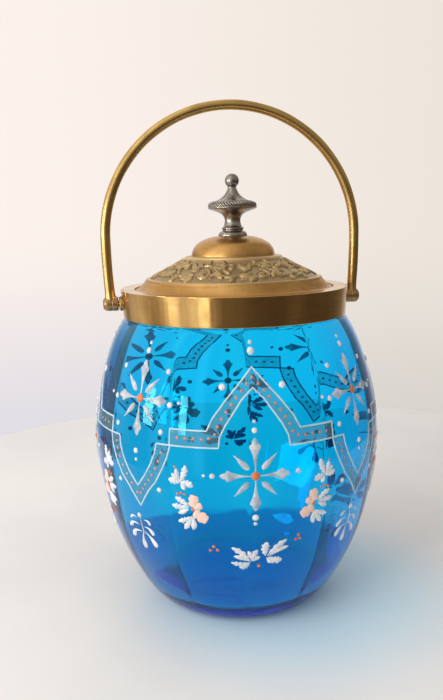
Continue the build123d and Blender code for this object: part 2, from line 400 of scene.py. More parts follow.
def lidFinish():
    # spun lid: warm satin on the rim and dome, dull stippled ground in the embossed band, and a painted
    # highlight along the two edging beads
    look = {
        "bright": (0.62, 0.37, 0.13), "dull": (0.47, 0.25, 0.09), "dark": (0.13, 0.075, 0.035),
        "scale": 55.0, "patches": 0.8, "specks": 0.3, "gloss": (0.26, 0.38), "smearScale": 40.0,
        "lines": 1500.0, "lineWaver": 20.0, "lineDepth": 0.5, "edgeShine": 0.4,
        "beadHighlight": (0.72, 0.6, 0.36), "bandLow": (0.4, 0.3, 0.17), "bandRange": (0.05, 0.75),
        "bandRoughness": 0.03, "stipple": 1600.0,
        # relief heights between which dirt gathers, and over which it thins out again
        "grimeStart": (0.0, 0.15), "grimeEnd": (0.15, 0.5, 0.6, 0.0),
    }
    bandLook = {"bright": (0.6, 0.44, 0.2), "dull": (0.44, 0.33, 0.17), "dark": look["dark"],
                "scale": 140.0, "patches": 0.9, "specks": 0.4}
    material, tree, place = newMaterial("lidBrass")
    metal = agedMetal(tree, place, look)
    relief, band, beadHighlight = (
        put(tree, "ShaderNodeAttribute", attribute_name=name).outputs["Fac"]
        for name in ("relief", "band", "beadHighlight"))
    bandHigh = agedMetal(tree, place, bandLook)["Color"]
    bandColour = blendColours(tree, spread(tree, relief, *look["bandRange"]), look["bandLow"], bandHigh)
    grime = multiply(tree, *(spread(tree, relief, *look[end]) for end in ("grimeStart", "grimeEnd")))
    bandColour = blendColours(tree, grime, bandColour, look["dark"])
    worn = wornEdges(tree, place, 0.56)
    colour = blendColours(tree, band, metal["Color"], bandColour)
    colour = blendColours(tree, multiply(tree, worn["Edges"], look["edgeShine"]), colour, look["bright"])
    # painted highlight: a pale line along each edging bead, where the light catches it
    colour = blendColours(tree, beadHighlight, colour, look["beadHighlight"])
    gloss = handled(tree, place, look["smearScale"], look["gloss"])
    roughness = add(tree, gloss, multiply(tree, band, look["bandRoughness"]))
    cells = {"Vector": place, "Scale": look["stipple"]}
    stipple = put(tree, "ShaderNodeTexVoronoi", cells, feature="F1").outputs["Distance"]
    ground = multiply(tree, multiply(tree, stipple, band), calculate(tree, "SUBTRACT", 1.0, relief, True))
    lines = useGroup(tree, latheLines, place=place, fineness=look["lines"], waver=look["lineWaver"])
    height = add(tree, multiply(tree, lines["Height"], look["lineDepth"]), ground)
    inputs = {"Base Color": colour, "Metallic": 1.0, "Roughness": roughness}
    finishMaterial(tree, inputs, height, strength=0.35, distance=0.0001)
    return material


def whiteMetalFinish():
    # cast white metal: silver-grey with brown-black in the hollows
    look = {
        "bright": (0.4, 0.372, 0.34), "dull": (0.23, 0.21, 0.188), "dark": (0.06, 0.044, 0.033),
        "scale": 190.0, "patches": 0.9, "specks": 0.25, "hollow": (0.05, 0.037, 0.028),
        "rubbed": (0.66, 0.62, 0.56), "edgeShine": 0.7, "gloss": (0.22, 0.34),
        "smearScale": 120.0, "pits": 900.0,
    }
    material, tree, place = newMaterial("whiteMetal")
    worn = wornEdges(tree, place, 0.58, 500.0)
    colour = blendColours(tree, worn["Hollows"], agedMetal(tree, place, look)["Color"], look["hollow"])
    colour = blendColours(tree, multiply(tree, worn["Edges"], look["edgeShine"]), colour, look["rubbed"])
    gloss = handled(tree, place, look["smearScale"], look["gloss"])
    pits = noise(tree, place, look["pits"], detail=4.0, roughness=0.6)
    inputs = {"Base Color": colour, "Metallic": 1.0, "Roughness": gloss}
    finishMaterial(tree, inputs, pits, strength=0.12, distance=0.0001)
    return material


def glassFinish():
    # clear turquoise glass: coloured in its thickness, faintly rippled, lightly handled, with a painted glow
    # deep inside the wall
    look = {
        "colour": (0.0, 0.886, 0.98), "density": 680.0, "ripple": 22.0, "rippleDepth": 0.0003,
        "gloss": (0.0, 0.03), "smearScale": 35.0, "trappedGlow": (0.22, 0.56, 0.16), "haze": (0.85, 0.6, 0.8),
        "lastReflection": 3.5,
    }
    material, tree, place = newMaterial("turquoiseGlass")
    material.cycles.emission_sampling = "NONE"
    # painted glow: light still running inside the wall after four reflections is given off as a dim emitted
    # glow instead of black
    depth = put(tree, "ShaderNodeLightPath").outputs["Glossy Depth"]
    deepGlow = calculate(tree, "GREATER_THAN", depth, look["lastReflection"])
    gloss = handled(tree, place, look["smearScale"], look["gloss"])
    ripple = noise(tree, place, look["ripple"], detail=2.0, roughness=0.4)
    tint = {"Color": look["colour"], "Density": look["density"]}
    volume = put(tree, "ShaderNodeVolumeAbsorption", tint).outputs[0]
    inputs = {
        "Base Color": (1.0, 1.0, 1.0), "Metallic": 0.0, "Transmission Weight": 1.0, "IOR": 1.5,
        "Specular Tint": (0.1, 0.75, 0.95), "Roughness": gloss,
        "Sheen Weight": 0.03, "Sheen Roughness": 0.35, "Sheen Tint": look["haze"],
        "Emission Color": look["trappedGlow"], "Emission Strength": deepGlow,
    }
    finishMaterial(tree, inputs, ripple, strength=0.3, distance=look["rippleDepth"], volume=volume)
    return material


enamelGrain = {
    "patches": 240.0, "patchRange": (0.35, 0.7), "smears": 300.0, "film": 420.0, "filmRange": (0.3, 0.7),
    "grain": 1400.0,
}


def enamelFinish(name, look):
    # fired enamel: slightly uneven colour, satin gloss, thin places a little darker
    material, tree, place = newMaterial(name)
    patchNoise = noise(tree, place, enamelGrain["patches"], detail=4.0, roughness=0.6)
    patches = spread(tree, patchNoise, *enamelGrain["patchRange"])
    colour = blendColours(tree, patches, look["colour"], look["thin"])
    gloss = handled(tree, place, enamelGrain["smears"], look["gloss"])
    inputs = {"Base Color": colour, "Roughness": gloss, "IOR": 1.5}
    if "cover" in look:
        filmNoise = noise(tree, place, enamelGrain["film"])
        inputs["Alpha"] = spread(tree, filmNoise, *enamelGrain["filmRange"], *look["cover"])
    grain = noise(tree, place, enamelGrain["grain"], detail=2.0)
    finishMaterial(tree, inputs, grain, strength=0.3, distance=0.0001)
    return material


def plasterFinish():
    look = {
        "pale": (0.72, 0.69, 0.62), "grey": (0.55, 0.5, 0.42), "roughness": (0.8, 0.95),
        "patches": 160.0, "patchRange": (0.35, 0.65), "smears": 300.0, "smearRange": (0.3, 0.7),
        "grain": 700.0,
    }
    material, tree, place = newMaterial("plaster")
    patches = spread(tree, noise(tree, place, look["patches"], detail=5.0), *look["patchRange"])
    colour = blendColours(tree, patches, look["pale"], look["grey"])
    smears = noise(tree, place, look["smears"])
    roughness = spread(tree, smears, *look["smearRange"], *look["roughness"])
    grain = noise(tree, place, look["grain"], detail=5.0)
    inputs = {"Base Color": colour, "Roughness": roughness}
    finishMaterial(tree, inputs, grain, strength=0.6, distance=0.0003)
    return material


def steelFinish():
    look = {"bright": (0.5, 0.48, 0.45), "dull": (0.34, 0.3, 0.26), "dark": (0.2, 0.09, 0.04),
            "scale": 220.0, "patches": 0.8, "specks": 0.5, "smearScale": 180.0, "gloss": (0.3, 0.5),
            "grain": 1200.0}
    material, tree, place = newMaterial("steel")
    colour = agedMetal(tree, place, look)["Color"]
    gloss = handled(tree, place, look["smearScale"], look["gloss"])
    inputs = {"Base Color": colour, "Metallic": 1.0, "Roughness": gloss}
    finishMaterial(tree, inputs, noise(tree, place, look["grain"]), strength=0.3, distance=0.0001)
    return material


lidBrass = lidFinish()
whiteMetal = whiteMetalFinish()
turquoiseGlass = glassFinish()
plaster = plasterFinish()
steel = steelFinish()
print("finishes ready")


# Glass body

glass = {
    "outline": [(36.5, 0.0), (41.5, 2.6), (46.9, 8.6), (53.9, 20.6), (61.2, 38.4), (65.9, 58.9),
        (68.0, 79.5), (66.0, 100.0), (60.9, 119.2), (56.0, 131.0), (53.0, 135.9)],
    "neck": [(51.0, 137.3, 1.0), (49.8, 139.4, 1.0), (49.8, 147.6, 0.5), (45.5, 147.6, 0.8),
        (45.5, 140.4, 2.0)],
    "inside": [(45.5, 139.0), (48.8, 135.6), (52.1, 131.0), (57.1, 119.2), (62.2, 100.0), (64.2, 79.5),
        (62.0, 58.9), (57.0, 38.4), (52.6, 27.5), (48.9, 21.0)],
    "floor": [(41.3, 8.0, 6.0), (0.0, 8.0, 0.0)],
    "frontAngle": -3.3,  # degrees, where the enamel's middle is
    "panels": 12,  # shallow upright panels blown into the wall
    "seamAngle": -5.3,  # where one of their seams is
    "innerFlat": (0.75, 1.6),  # how far the panels' middles stand in inside, high up and near the foot
    "outerFlat": (0.1, 0.3),  # and draw in outside
    "flatHeights": (96.0, 38.0),
    "fadeLow": (10.0, 20.0),  # the panels start between these heights
    "fadeHigh": (132.0, 139.0),  # and die out between these
    "columns": 384, "lineRows": 160, "outerRows": 100, "innerRows": 84, "baseRows": 10, "floorGap": 4.0,
}


def panelDepth(angle, z, flat):
    # flattening of the panels, stronger near the foot:
    # 1 - (distance from the panel's middle / half a panel)^2
    period = 360 / glass["panels"]
    off = (angle - glass["seamAngle"]) % period / (period / 2) - 1
    high, low = glass["flatHeights"]
    deep = flat[0] + (flat[1] - flat[0]) * smoothStep(-z, -high, -low)
    return (1 - off**2) * deep * window(z, glass["fadeLow"], glass["fadeHigh"])


outerLine = splineThrough(glass["outline"], glass["lineRows"])
outerSlope = np.gradient(outerLine[:, 0]) / np.gradient(outerLine[:, 1])


def makeGlass():
    # outline from the foot up, over the lip and down the inside to the thick floor, turned about Z;
    # the panels' middles draw in, more inside than outside
    outer = splineThrough(glass["outline"], glass["outerRows"])
    inner = splineThrough(glass["inside"], glass["innerRows"])
    lipCorners = [(*outer[-1], 0.0), *glass["neck"], (*inner[0], 0.0)]
    lip = roundedLine(lipCorners, closed=False)[1:-1]
    floor = roundedLine([(*glass["inside"][-1], 0.0), *glass["floor"]], closed=False)
    floor = denser(floor, glass["floorGap"], closed=False)[1:]
    reach = np.linspace(0, glass["outline"][0][0], glass["baseRows"])[:-1]
    base = np.stack([reach, 0 * reach], axis=1)
    line = np.vstack([base, outer, lip, inner, floor])
    angle = np.degrees(fullTurn(glass["columns"])) + 90  # a turned grid starts at +X
    isOuter = (np.arange(len(line)) < len(base) + len(outer) + len(lip) // 2)[:, None]
    outerFlat, innerFlat = (panelDepth(angle, line[:, 1:], glass[key]) for key in ("outerFlat", "innerFlat"))
    points = turned(line, glass["columns"], -np.where(isOuter, outerFlat, innerFlat))
    buildPiece("glass_body", [(points, False)], turquoiseGlass, "jar", ["glass_jar"])


makeGlass()
print("glass body ready")


# Enamel on the glass: strapwork, star flowers, sprigs and dots, once round in four quarters

# the back quarter's pattern was painted a little higher and closer
back = {
    "rise": 6.0, "fade": (95.0, 140.0),  # degrees from the front over which it rises
    "seamFlowerDrop": 0.8,  # share of the rise that the flowers on the seams don't take
    "flowerRise": 3.3, "sprigRise": 4.0, "sprayRise": 8.0, "sprigReach": 0.8,
    "dotTop": 45.0,  # no dots further than this above the flower
}
brush = {"sides": 8, "sink": 0.06, "fullArch": 1.4, "strokeRows": 20,
         "dotRings": 4, "dotColumns": 10, "dotRim": 112.0}


def fromBack(phi):
    # 0 over the front half, rising smoothly to 1 over the back quarter
    return smoothStep(np.abs((phi + 180) % 360 - 180), *back["fade"])


def onGlass(phi, z, lift):
    # point at phi degrees from the enamel's middle and height z, raised along the wall's normal
    angle = phi + glass["frontAngle"]
    z = z + back["rise"] * fromBack(phi)
    radius = np.interp(z, outerLine[:, 1], outerLine[:, 0]) - panelDepth(angle, z, glass["outerFlat"])
    lean = np.arctan(-np.interp(z, outerLine[:, 1], outerSlope))
    radius = radius + lift * np.cos(lean)
    turn = np.radians(angle)
    return np.stack([radius * np.sin(turn), -radius * np.cos(turn), z + lift * np.sin(lean)], axis=-1)


def besides(phi, z, right, up):
    # the spot right and up of another by so many millimetres, as (degrees, height)
    radius = np.interp(z + up, outerLine[:, 1], outerLine[:, 0])
    return np.stack([phi + np.degrees(right / radius), z + up + 0 * radius], axis=-1)


def brushLine(path, halfWidth, height):
    # raised line along (degrees, height) points: an arch across, its back sunk in the glass,
    # both ends drawn to a point
    path = np.asarray(path, float)
    radius = np.interp(path[:, 1], outerLine[:, 1], outerLine[:, 0])
    step = unit(np.stack([np.gradient(np.radians(path[:, 0])) * radius, np.gradient(path[:, 1])], axis=1))
    side = np.stack([-step[:, 1], step[:, 0]], axis=1)
    width = np.array(np.broadcast_to(halfWidth, len(path)), float)
    path, side, radius, width = (np.concatenate([a[:1], a, a[-1:]]) for a in (path, side, radius, width))
    width[[0, -1]] = 0
    turn = fullTurn(brush["sides"])
    across = width[:, None] * np.cos(turn)
    arch = height * np.minimum(1, width / width.max() * brush["fullArch"])[:, None]
    lift = np.where(np.sin(turn) > 0, arch * np.sin(turn), brush["sink"] * np.sin(turn))
    phi = path[:, :1] + np.degrees(side[:, :1] * across / radius[:, None])
    return onGlass(phi, path[:, 1:] + side[:, 1:] * across, lift), False


strokeShapes = {  # half width along a stroke, as (share of length, share of width)
    "spear": [(0, 0.08), (0.2, 0.13), (0.4, 0.26), (0.56, 0.5), (0.68, 0.8), (0.75, 1.0), (0.79, 0.94),
        (0.83, 0.5), (0.89, 0.5), (0.95, 0.34), (1, 0.08)],
    "seed": [(0, 0.3), (0.1, 0.8), (0.25, 1.0), (0.4, 0.95), (0.62, 0.6), (0.85, 0.28), (1, 0.1)],
    "leaf": [(0, 0.12), (0.25, 0.55), (0.5, 0.95), (0.7, 1.0), (0.88, 0.62), (1, 0.12)],
    "lobed": [(0, 0.12), (0.14, 0.34), (0.27, 0.78), (0.35, 0.48), (0.5, 1.08), (0.59, 0.6), (0.74, 1.05),
        (0.83, 0.5), (0.92, 0.56), (1, 0.1)],
    "notched": [(0, 0.4), (0.1, 0.85), (0.24, 0.95), (0.36, 0.66), (0.5, 1.0), (0.68, 1.05), (0.8, 0.78),
        (0.92, 0.9), (1, 0.5)],
    "comma": [(0, 0.1), (0.35, 0.3), (0.62, 0.72), (0.82, 1.0), (0.95, 0.78), (1, 0.35)],
}


def stroke(phi, z, start, end, halfWidth, shape="leaf", bend=0.0, height=0.5):
    # a drop of enamel between two spots in millimetres from (phi, z), bowed sideways by a half
    # sine of the bend, a share of its length
    share = np.linspace(0, 1, brush["strokeRows"])
    start, end = np.array(start, float), np.array(end, float)
    run = end - start
    bow = bend * np.sin(math.pi * share)[:, None] * np.array([-run[1], run[0]])
    spots = start + share[:, None] * run + bow
    widths = halfWidth * np.interp(share, *np.array(strokeShapes[shape]).T)
    return brushLine(besides(phi, z, spots[:, 0], spots[:, 1]), widths, height)


def dot(phi, z, radius, height=None):
    # low dome: ring b out to radius sin b, lifted by height cos b
    b = np.radians(np.linspace(brush["dotRim"], 0, brush["dotRings"]))[:, None]
    a = fullTurn(brush["dotColumns"])
    spot = besides(phi, z, radius * np.sin(b) * np.cos(a), radius * np.sin(b) * np.sin(a))
    points = onGlass(spot[..., 0], spot[..., 1], (height or radius * 0.5) * np.cos(b) + 0 * a)
    return points, False


strap = {
    "peakOuter": [(30.3, 97.7), (16.7, 97.7), (14.5, 103.0), (9.7, 110.2), (0.0, 122.5)],
    "peakInner": [(30.3, 91.0), (12.5, 91.0), (12.1, 95.2), (10.1, 100.0), (4.1, 110.1), (0.0, 114.6)],
    "reach": (35.7, 91.0),  # the inner line runs on to here, where the next panel starts
    "join": [(30.3, 98.0), (30.3, 91.0)],  # short line that closes the outer one
    "veeOuter": [(15.0, 91.0), (13.7, 85.5), (11.7, 80.5), (8.5, 74.0), (5.0, 69.5), (0.0, 61.3)],
    "veeInner": [(9.3, 91.0), (8.7, 87.0), (6.8, 81.8), (3.9, 76.3), (0.0, 70.8)],
    "lineHalfWidth": 0.36, "lineHeight": 0.3, "lineGap": 1.6,
    "dotRadius": 0.66, "dotHeight": 0.3, "dotGap": 3.3,
    "filmRows": 48, "filmColumns": 4, "filmTop": 0.07, "filmBottom": -0.04,
}
flower = {
    "petals": 8, "spearStart": 1.0, "spearHalfWidth": 2.45, "seedStart": 3.8, "seedHalfWidth": 1.25,
    "petalHeight": 0.55, "heart": 1.9, "heartHeight": 0.9, "frontHeight": 79.5, "seamHeight": 108.1,
    # how far the level spears, the upright spears and the seeds reach
    "frontReach": (14.6, 15.5, 12.4), "backReach": (12.2, 12.4, 10.2), "seamReach": (14.0, 15.6, 12.6),
    # white dots about a flower: degrees and millimetres from its heart, and radius
    "frontDots": [
        (-14.8, 0, 1.25), (-17.8, 0, 0.7), (15.2, 0.5, 1.2), (0, -18.4, 1.5), (0, -21.3, 0.9),
        (0, 18.5, 1.25), (0, 22.0, 0.8), (0, 49.1, 1.6), (0, 52.4, 0.9),
        (-11.3, 35.5, 1.5), (11.3, 35.5, 1.5)],
    "seamDots": [
        (0, 19.3, 1.3), (0, 22.5, 0.8), (-12, 11.9, 1.2), (12, 11.9, 1.2), (-14, -1.1, 1.3), (14, -1.1, 1.3),
        (-17.6, 0, 0.8), (17.6, 0, 0.8), (-11, -12.3, 1.2), (11, -12.3, 1.2), (0, -21.9, 1.3),
        (0, -25.7, 0.8), (-10, -37.1, 1.2), (10, -37.1, 1.2)],
}

# sprigs, as (start, end, half width, shape, bend) in millimetres from their middles; the left-hand
# one is given
sprigFullness = 1.12
upperSprig = {
    "at": (-25.7, 76.0),
    "white": [((-0.8, 0.2), (1.7, 7.3), 1.35, "lobed", -0.06),
        ((-0.9, 1.0), (-2.4, 5.7), 0.95, "leaf", 0.1), ((-0.5, 0.3), (-6.0, 0.9), 1.45, "lobed", 0.08),
        ((-0.9, 0.7), (-4.6, 3.4), 0.85, "leaf", 0.05), ((-0.4, 0.0), (4.6, -1.7), 1.45, "lobed", 0.1),
        ((-0.5, -0.2), (1.0, -3.3), 0.95, "leaf", 0.0)],
    "orange": [(-3.0, 6.2, 0.55), (-2.3, -5.3, 0.68), (-0.6, -4.8, 0.6), (0.9, -5.3, 0.6)],
}
lowerSprig = {
    "at": (-25.0, 62.0),
    "white": [((1.6, 3.1), (-4.4, 7.0), 1.3, "lobed", -0.05),
        ((1.0, 2.9), (-6.1, 3.3), 1.3, "lobed", 0.05), ((1.4, 2.3), (-3.6, -0.2), 0.95, "leaf", 0.05),
        ((2.6, -1.2), (-4.0, -4.1), 1.15, "lobed", 0.06), ((2.6, -1.6), (-1.3, -7.5), 1.25, "lobed", 0.0),
        ((2.9, -1.4), (2.4, -7.5), 1.15, "leaf", 0.06)],
    "peach": [((2.9, 3.4), (4.3, 8.6), 1.9, "notched", 0.0),
        ((3.4, 0.8), (8.9, -2.6), 2.3, "notched", 0.0), ((3.6, 2.8), (7.2, 4.4), 1.4, "notched", 0.0)],
    "orange": [(3.2, 2.2, 0.8)],
}
footSpray = {
    "at": (0.0, 43.0),
    "white": [((-1.8, -3.4), (-9.8, 3.9), 1.3, "lobed", -0.07),
        ((-2.6, -3.0), (-8.9, -0.4), 0.9, "leaf", -0.05), ((-2.0, -3.9), (-9.9, -3.7), 1.1, "lobed", 0.1),
        ((-2.2, -3.8), (-6.4, -6.3), 1.6, "lobed", 0.1), ((-1.2, -3.2), (-3.1, 2.1), 0.95, "leaf", -0.1),
        ((-1.0, -3.0), (1.2, 2.4), 1.25, "lobed", 0.1), ((-0.8, -3.2), (2.3, -1.2), 0.95, "leaf", 0.1),
        ((4.6, -0.9), (5.1, 5.9), 1.7, "lobed", 0.08), ((5.4, -1.0), (13.8, 6.0), 1.35, "lobed", 0.05),
        ((6.0, -1.4), (14.6, 2.6), 0.95, "leaf", 0.08), ((5.4, -1.9), (11.9, -4.0), 1.75, "lobed", -0.1),
        ((5.0, -2.0), (7.6, -4.9), 1.1, "leaf", 0.0)],
    "orange": [(1.8, -5.8, 0.85)],
    # terracotta berries beside it, in degrees and millimetres
    "berries": [(-15.6, 47.1), (-17.0, 45.1), (-14.2, 45.5), (17.0, 50.3), (17.7, 48.5), (16.0, 48.3)],
    "berryRadius": 0.75,
}
leafDrop = {
    "shift": -2.0, "bud": (56.0, 1.3),  # degrees from the seam, and the bud's height and radius
    "white": [((-2.4, 54.0), (-6.4, 53.2), 0.8, "comma", -0.25),
        ((-1.6, 50.8), (-8.2, 48.6), 1.05, "comma", -0.2),
        ((-1.0, 47.6), (-7.6, 43.6), 1.3, "comma", -0.2), ((2.2, 54.0), (5.8, 52.4), 0.8, "comma", 0.25),
        ((1.6, 50.6), (6.6, 47.6), 1.05, "comma", 0.2), ((0.3, 48.4), (-0.9, 39.2), 1.5, "comma", -0.06),
        ((1.0, 48.2), (6.6, 41.6), 1.45, "comma", 0.1), ((0.0, 55.2), (0.5, 46.4), 0.28, "leaf", 0.03)],
}
enamels = {  # piece, finish and its look: fired colour, colour where it is thin, gloss, cover of a film
    "white": ("enamel_white", "whiteEnamel",
              {"colour": (0.7, 0.71, 0.74), "thin": (0.47, 0.53, 0.62), "gloss": (0.3, 0.45)}),
    "petals": ("enamel_petals", "petalEnamel",
               {"colour": (0.66, 0.68, 0.71), "thin": (0.36, 0.41, 0.46), "gloss": (0.3, 0.45),
                "cover": (0.55, 0.85)}),
    "lines": ("enamel_strap_lines", "lineEnamel",
              {"colour": (0.5, 0.62, 0.68), "thin": (0.34, 0.5, 0.6), "gloss": (0.35, 0.5)}),
    "orange": ("enamel_orange", "terracottaEnamel",
               {"colour": (0.66, 0.17, 0.05), "thin": (0.5, 0.15, 0.06), "gloss": (0.35, 0.5)}),
    "rose": ("enamel_rose_dots", "roseEnamel",
             {"colour": (0.56, 0.2, 0.13), "thin": (0.44, 0.22, 0.2), "gloss": (0.35, 0.5)}),
    "peach": ("enamel_peach", "peachEnamel",
              {"colour": (0.8, 0.5, 0.39), "thin": (0.74, 0.56, 0.5), "gloss": (0.3, 0.45)}),
    "ground": ("enamel_strap_ground", "strapGround",
               {"colour": (0.13, 0.35, 0.4), "thin": (0.18, 0.33, 0.35), "gloss": (0.5, 0.65),
                "cover": (0.16, 0.27)}),
}


def mirrored(line):
    # a half line from its right end to the middle, carried on to the left
    line = np.asarray(line, float)
    return np.vstack([line, (line * [-1, 1])[-2::-1]])


def evenRun(path, count):
    # count points at even steps along a polyline on the glass, and its length
    path = np.asarray(path, float)
    radius = np.interp(path[:, 1], outerLine[:, 1], outerLine[:, 0])
    along = distances(np.stack([np.radians(path[:, 0]) * radius, path[:, 1]], axis=1))
    spots = np.linspace(0, along[-1], count)
    run = np.stack([np.interp(spots, along, path[:, 0]), np.interp(spots, along, path[:, 1])], axis=1)
    return run, along[-1]


def groundSheet(outer, inner):
    # thin film between two lines: rows along them, columns across the top and back underneath
    a, b = (evenRun(line, strap["filmRows"])[0][:, None] for line in (outer, inner))
    share = np.linspace(0, 1, strap["filmColumns"])
    share = np.concatenate([share, share[::-1]])[None, :, None]
    lift = np.repeat([strap["filmTop"], strap["filmBottom"]], strap["filmColumns"])[None, :]
    spot = a * (1 - share) + b * share
    return closedEnds(onGlass(spot[..., 0], spot[..., 1], lift + 0 * spot[..., 0])), False


def makeFlower(phi, z, reach):
    # eight petals about a round heart: four spears and four seeds between them
    strokes = []
    for petal in range(flower["petals"]):
        turn = petal * 2 * math.pi / flower["petals"]
        way = np.array([math.cos(turn), math.sin(turn)])
        shape, end = ("seed", reach[2]) if petal % 2 else ("spear", reach[petal // 2 % 2])
        start, width = flower[shape + "Start"], flower[shape + "HalfWidth"]
        strokes.append(stroke(phi, z, way * start, way * end, width, shape, height=flower["petalHeight"]))
    return strokes


def sprigStrokes(sprig, kind, phi, z, side=1, fullness=sprigFullness):
    # a sprig's strokes, or its mirror image
    flip = [side, 1]
    return [stroke(phi, z, np.array(start) * flip, np.array(end) * flip, width * fullness, shape, bend * side)
            for start, end, width, shape, bend in sprig[kind]]


def sprigDots(sprig, phi, z, side=1):
    return [dot(*besides(phi, z, x * side, y), radius) for x, y, radius in sprig["orange"]]


def makeEnamel():
    coats = {coat: [] for coat in enamels}
    white, petals, lines, orange, rose, peach, ground = coats.values()
    peakOuter, peakInner = mirrored(strap["peakOuter"]), mirrored(strap["peakInner"])
    veeOuter, veeInner = mirrored(strap["veeOuter"]), mirrored(strap["veeInner"])
    reachLine = mirrored([strap["reach"], *strap["peakInner"]])
    for quarter in range(4):
        turn = np.array([90.0 * quarter, 0.0])
        half = turn + [45.0, 0.0]
        p, q = turn[0], half[0]
        isBack = quarter == 2
        # strapwork lines, the short ends that join them, the film and the dots between
        paths = [peakOuter + turn, reachLine + turn, veeOuter + half, veeInner + half]
        paths += [np.array(strap["join"]) * [side, 1] + turn for side in (-1, 1)]
        for path in paths:
            path = denser(path, strap["lineGap"], closed=False)
            lines.append(brushLine(path, strap["lineHalfWidth"], strap["lineHeight"]))
        for outer, inner, base in ((peakOuter, peakInner, turn), (veeOuter, veeInner, half)):
            ground.append(groundSheet(outer + base, inner + base))
            count = int((evenRun(outer, 2)[1] + evenRun(inner, 2)[1]) / 2 / strap["dotGap"])
            middle = (evenRun(outer + base, count)[0] + evenRun(inner + base, count)[0]) / 2
            rose += [dot(phi, z, strap["dotRadius"], strap["dotHeight"]) for phi, z in middle[1:-1]]
        # a flower in the middle and one over the seam, with their dots
        height = flower["frontHeight"] + isBack * back["flowerRise"]
        seamHeight = flower["seamHeight"] - back["rise"] * float(fromBack(q)) * back["seamFlowerDrop"]
        petals += makeFlower(p, height, flower["backReach" if isBack else "frontReach"])
        petals += makeFlower(q, seamHeight, flower["seamReach"])
        for phi, z in ((p, height), (q, seamHeight)):
            orange.append(dot(phi, z, flower["heart"], flower["heartHeight"]))
        white += [dot(p + a, height + z, radius) for a, z, radius in flower["frontDots"]
                  if not (isBack and z > back["dotTop"])]
        white += [dot(q + a, seamHeight + z, radius) for a, z, radius in flower["seamDots"]]
        # leaf drop under the lower point
        dropMiddle = q + leafDrop["shift"]
        white.append(dot(dropMiddle, *leafDrop["bud"]))
        white += sprigStrokes(leafDrop, "white", dropMiddle, 0.0, fullness=1.0)
        # sprigs either side of the flower and a spray near the foot
        for side in (1, -1):
            for sprig in (upperSprig, lowerSprig):
                phi = p + side * sprig["at"][0] * (back["sprigReach"] if isBack else 1.0)
                z = sprig["at"][1] + isBack * back["sprigRise"]
                white += sprigStrokes(sprig, "white", phi, z, side)
                if "peach" in sprig:
                    peach += sprigStrokes(sprig, "peach", phi, z, side)
                orange += sprigDots(sprig, phi, z, side)
        sprayHeight = footSpray["at"][1] + isBack * back["sprayRise"]
        white += sprigStrokes(footSpray, "white", p, sprayHeight)
        orange += sprigDots(footSpray, p, sprayHeight)
        orange += [dot(p + a, z, footSpray["berryRadius"]) for a, z in footSpray["berries"]]
    for coat, (piece, finish, look) in enamels.items():
        buildPiece(piece, coats[coat], enamelFinish(finish, look), "jar", sharp=60)


makeEnamel()
print("enamel ready")


# Collar: tapered band and flat top ring

collar = {
    "band": [(51.5, 137.0, 0.2), (52.5, 137.0, 0.35), (52.62, 137.9, 0.5), (53.05, 143.5, 9.0),
        (53.58, 149.6, 0.4), (53.6, 150.0, 0.35), (52.6, 150.0, 0.15)],
    "ring": [(52.55, 149.96, 0.15), (47.0, 150.0, 0.35), (47.0, 148.7, 0.1), (44.3, 148.7, 0.3),
        (44.3, 141.8, 0.3), (45.2, 141.8, 0.3), (45.2, 147.6, 0.2), (52.3, 147.6, 0.1)],
    "waver": 0.05,  # hand-formed unevenness of the band
    # its waves, as (count round the band, start, share)
    "waves": [(5, 0.6, 0.5), (11, 2.1, 0.3), (23, 4.0, 0.12), (71, 0.0, 0.25), (127, 1.0, 0.12)],
    "waverHeights": [(137.2, 140.0), (147.0, 149.8)],
    "columns": 720, "bandGap": 0.8, "ringGap": 1.0,
}


def makeCollar():
    # closed profiles turned about Z; the band's face wavers by a few slow sine waves
    columns = collar["columns"]
    u = fullTurn(columns)
    waves = sum(np.sin(count * u + start) * share for count, start, share in collar["waves"])
    band = denser(roundedLine(collar["band"]), collar["bandGap"])
    face = window(band[:, 1:], *collar["waverHeights"])
    ring = denser(roundedLine(collar["ring"])[::-1], collar["ringGap"])
    wavy = turned(band, columns, collar["waver"] * waves * face)
    for name, points, node in (("collar_band_brass", wavy, "collar_band"),
                               ("collar_ring_brass", turned(ring, columns), "collar_top_ring")):
        buildPiece(name, [(points, True)], collarBrass, "jar", [node])


makeCollar()
print("collar ready")


# Bail, knuckles and pivot bosses

bail = {
    "archCentre": 173.5, "archRadius": 59.3, "legFootX": 58.2, "legFootZ": 145.7, "rod": 2.3,
    "flare": 0.35, "flareLength": 1.6,  # brazed swelling where the rod meets the knuckle
    "waver": 0.03, "waverRate": 0.31,  # the rod is drawn a little thinner in slow waves
    "legRows": 26, "archRows": 160, "columns": 28,
    "pivotZ": 143.6, "endColumns": 48, "endGap": 0.5,
    "knuckle": [(0.0, 54.7, 0.0), (2.9, 54.7, 0.3), (3.35, 55.1, 0.3), (3.35, 57.4, 0.4),
        (3.2, 57.6, 0.2), (3.35, 57.9, 0.3), (3.35, 60.6, 1.2), (2.1, 61.8, 1.0), (0.0, 61.8, 0.0)],
    "boss": [(0.0, 52.0, 0.0), (3.4, 52.0, 0.1), (3.4, 53.9, 0.4), (3.0, 54.4, 0.3), (0.0, 54.4, 0.0)],
}


